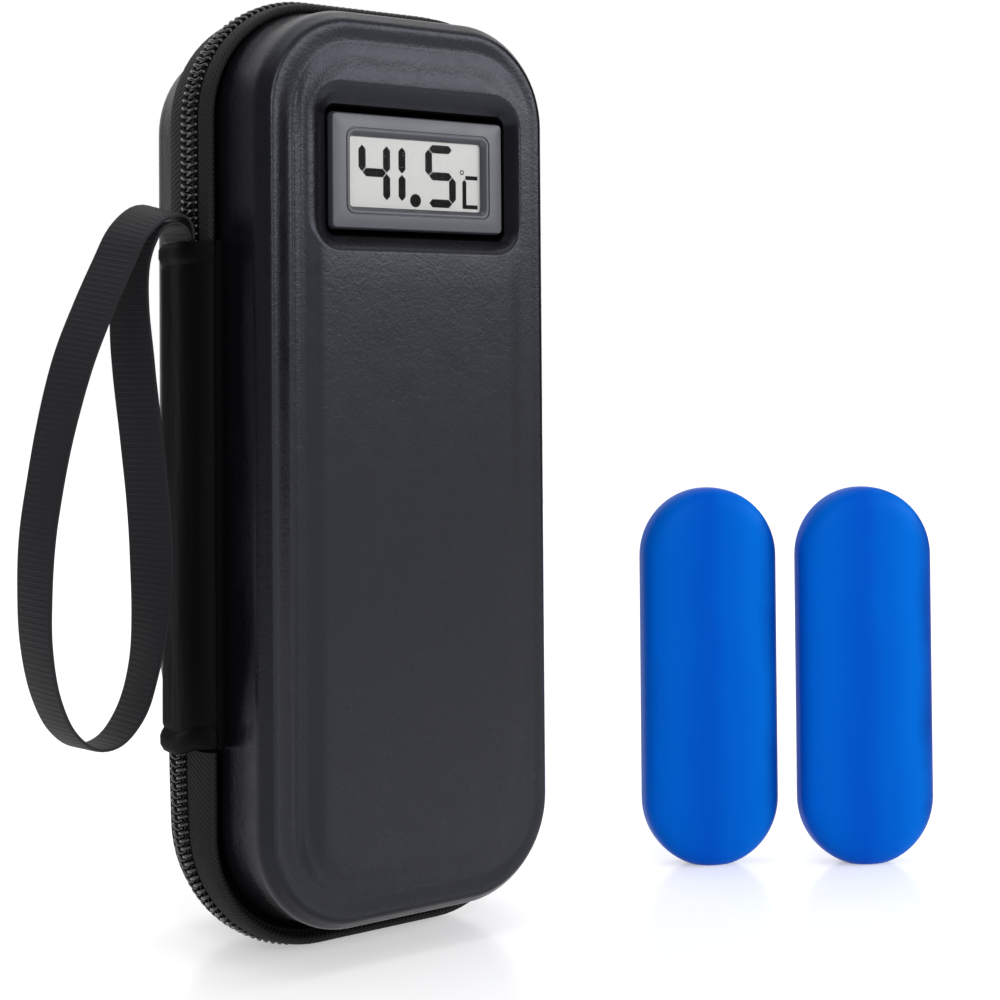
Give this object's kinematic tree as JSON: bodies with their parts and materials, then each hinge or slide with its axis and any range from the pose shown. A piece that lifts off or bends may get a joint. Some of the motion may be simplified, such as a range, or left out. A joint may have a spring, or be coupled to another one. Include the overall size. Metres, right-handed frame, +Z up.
{
  "type": "insulin cooling case",
  "caption": "Zipped hard-shell clamshell case for insulin pens, with a thermometer in the lid, fabric hinge, wrist strap, elastic pen bands, mesh pocket and loose ice packs.",
  "frame": {"origin": "centre of the flat lower run of the base half's zip tape, which the case stands on", "axes": "+Z up along the case's height, -Y out of the lid's face, +Y out of the back, -X towards the fabric hinge and the wrist strap"},
  "size_m": [0.2315, 0.0673, 0.21],
  "materials": {
    "leather": "satin",
    "spine_fabric": "satin",
    "zip_fabric": "matte",
    "zip_coil": "satin",
    "webbing": "matte",
    "foil": "satin",
    "board_cloth": "matte",
    "elastic": "matte",
    "mesh": "matte",
    "bezel": "satin",
    "window": "gloss",
    "liquid_crystal": "satin",
    "rubber": "matte",
    "circuit": "satin",
    "housing": "satin",
    "steel": "satin",
    "slider_metal": "satin",
    "pack_plastic": "satin",
    "gel": "satin"
  },
  "bodies": {
    "base": {"base_shell": "leather", "base_lining": "foil", "base_zip_tape": "zip_fabric", "base_zip_coil": "zip_coil", "hinge_flap_base": "spine_fabric", "pen_board": "board_cloth", "pen_band_upper": "elastic", "pen_band_lower": "elastic"},
    "spine": {"hinge_spine": "spine_fabric", "hinge_hem_top": "spine_fabric", "hinge_hem_bottom": "spine_fabric", "strap_end_upper": "webbing", "strap_end_lower": "webbing"},
    "strap": {"wrist_strap": "webbing"},
    "lid": {"lid_shell": "leather", "lid_lining": "foil", "lid_zip_tape": "zip_fabric", "lid_zip_coil": "zip_coil", "hinge_flap_lid": "spine_fabric", "lid_mesh_pocket": "mesh", "pocket_binding": "elastic", "display_bezel": "bezel", "display_window": "window", "liquid_crystal_panel": "liquid_crystal", "connector_strip": "rubber", "circuit_board": "circuit", "temperature_sensor": "rubber", "button_cell_left": "steel", "button_cell_right": "steel", "battery_contact_left": "steel", "battery_contact_right": "steel", "rear_housing": "housing", "battery_cover": "housing"},
    "slider_upper": {"zip_slider_upper": "slider_metal"},
    "slider_lower": {"zip_slider_lower": "slider_metal"},
    "pull_upper": {"zip_pull_upper": "slider_metal"},
    "pull_lower": {"zip_pull_lower": "slider_metal"},
    "pack_left": {"ice_pack_left": "pack_plastic", "ice_pack_gel_left": "gel", "ice_pack_plug_left": "pack_plastic"},
    "pack_right": {"ice_pack_right": "pack_plastic", "ice_pack_gel_right": "gel", "ice_pack_plug_right": "pack_plastic"}
  },
  "joints": [
    {"name": "spine_fold", "type": "hinge", "parent": "base", "child": "spine", "pos_m": [-0.046, 0.00095, 0.1], "axis": [0, 0, -1], "range_deg": [0, 90]},
    {"name": "lid_fold", "type": "hinge", "parent": "spine", "child": "lid", "pos_m": [-0.046, -0.01405, 0.1], "axis": [0, 0, -1], "range_deg": [0, 90]},
    {"name": "strap_swing", "type": "hinge", "parent": "spine", "child": "strap", "pos_m": [-0.05, -0.00655, 0.16006], "axis": [0, 1, 0], "range_deg": [0, 120], "deforming": ["strap_end_upper", "strap_end_lower"]},
    {"name": "slider_upper_run", "type": "slide", "parent": "base", "child": "slider_upper", "axis": [0, 0, 1], "range_m": [0, 0.066]},
    {"name": "slider_lower_run", "type": "slide", "parent": "base", "child": "slider_lower", "axis": [0, 0, -1], "range_m": [0, 0.066]},
    {"name": "pull_upper_swing", "type": "hinge", "parent": "slider_upper", "child": "pull_upper", "pos_m": [0.04655, -0.00655, 0.10815], "axis": [0, -1, 0], "range_deg": [0, 120]},
    {"name": "pull_lower_swing", "type": "hinge", "parent": "slider_lower", "child": "pull_lower", "pos_m": [0.04655, -0.00655, 0.09855], "axis": [0, -1, 0], "range_deg": [0, 40]},
    {"name": "pack_left_lift", "type": "slide", "parent": "base", "child": "pack_left", "axis": [0, 0, 1], "range_m": [0, 0.12]},
    {"name": "pack_right_lift", "type": "slide", "parent": "base", "child": "pack_right", "axis": [0, 0, 1], "range_m": [0, 0.12]}
  ],
  "couplings": [
    {"joint": "lid_fold", "follows": "spine_fold", "ratio": 1}
  ]
}
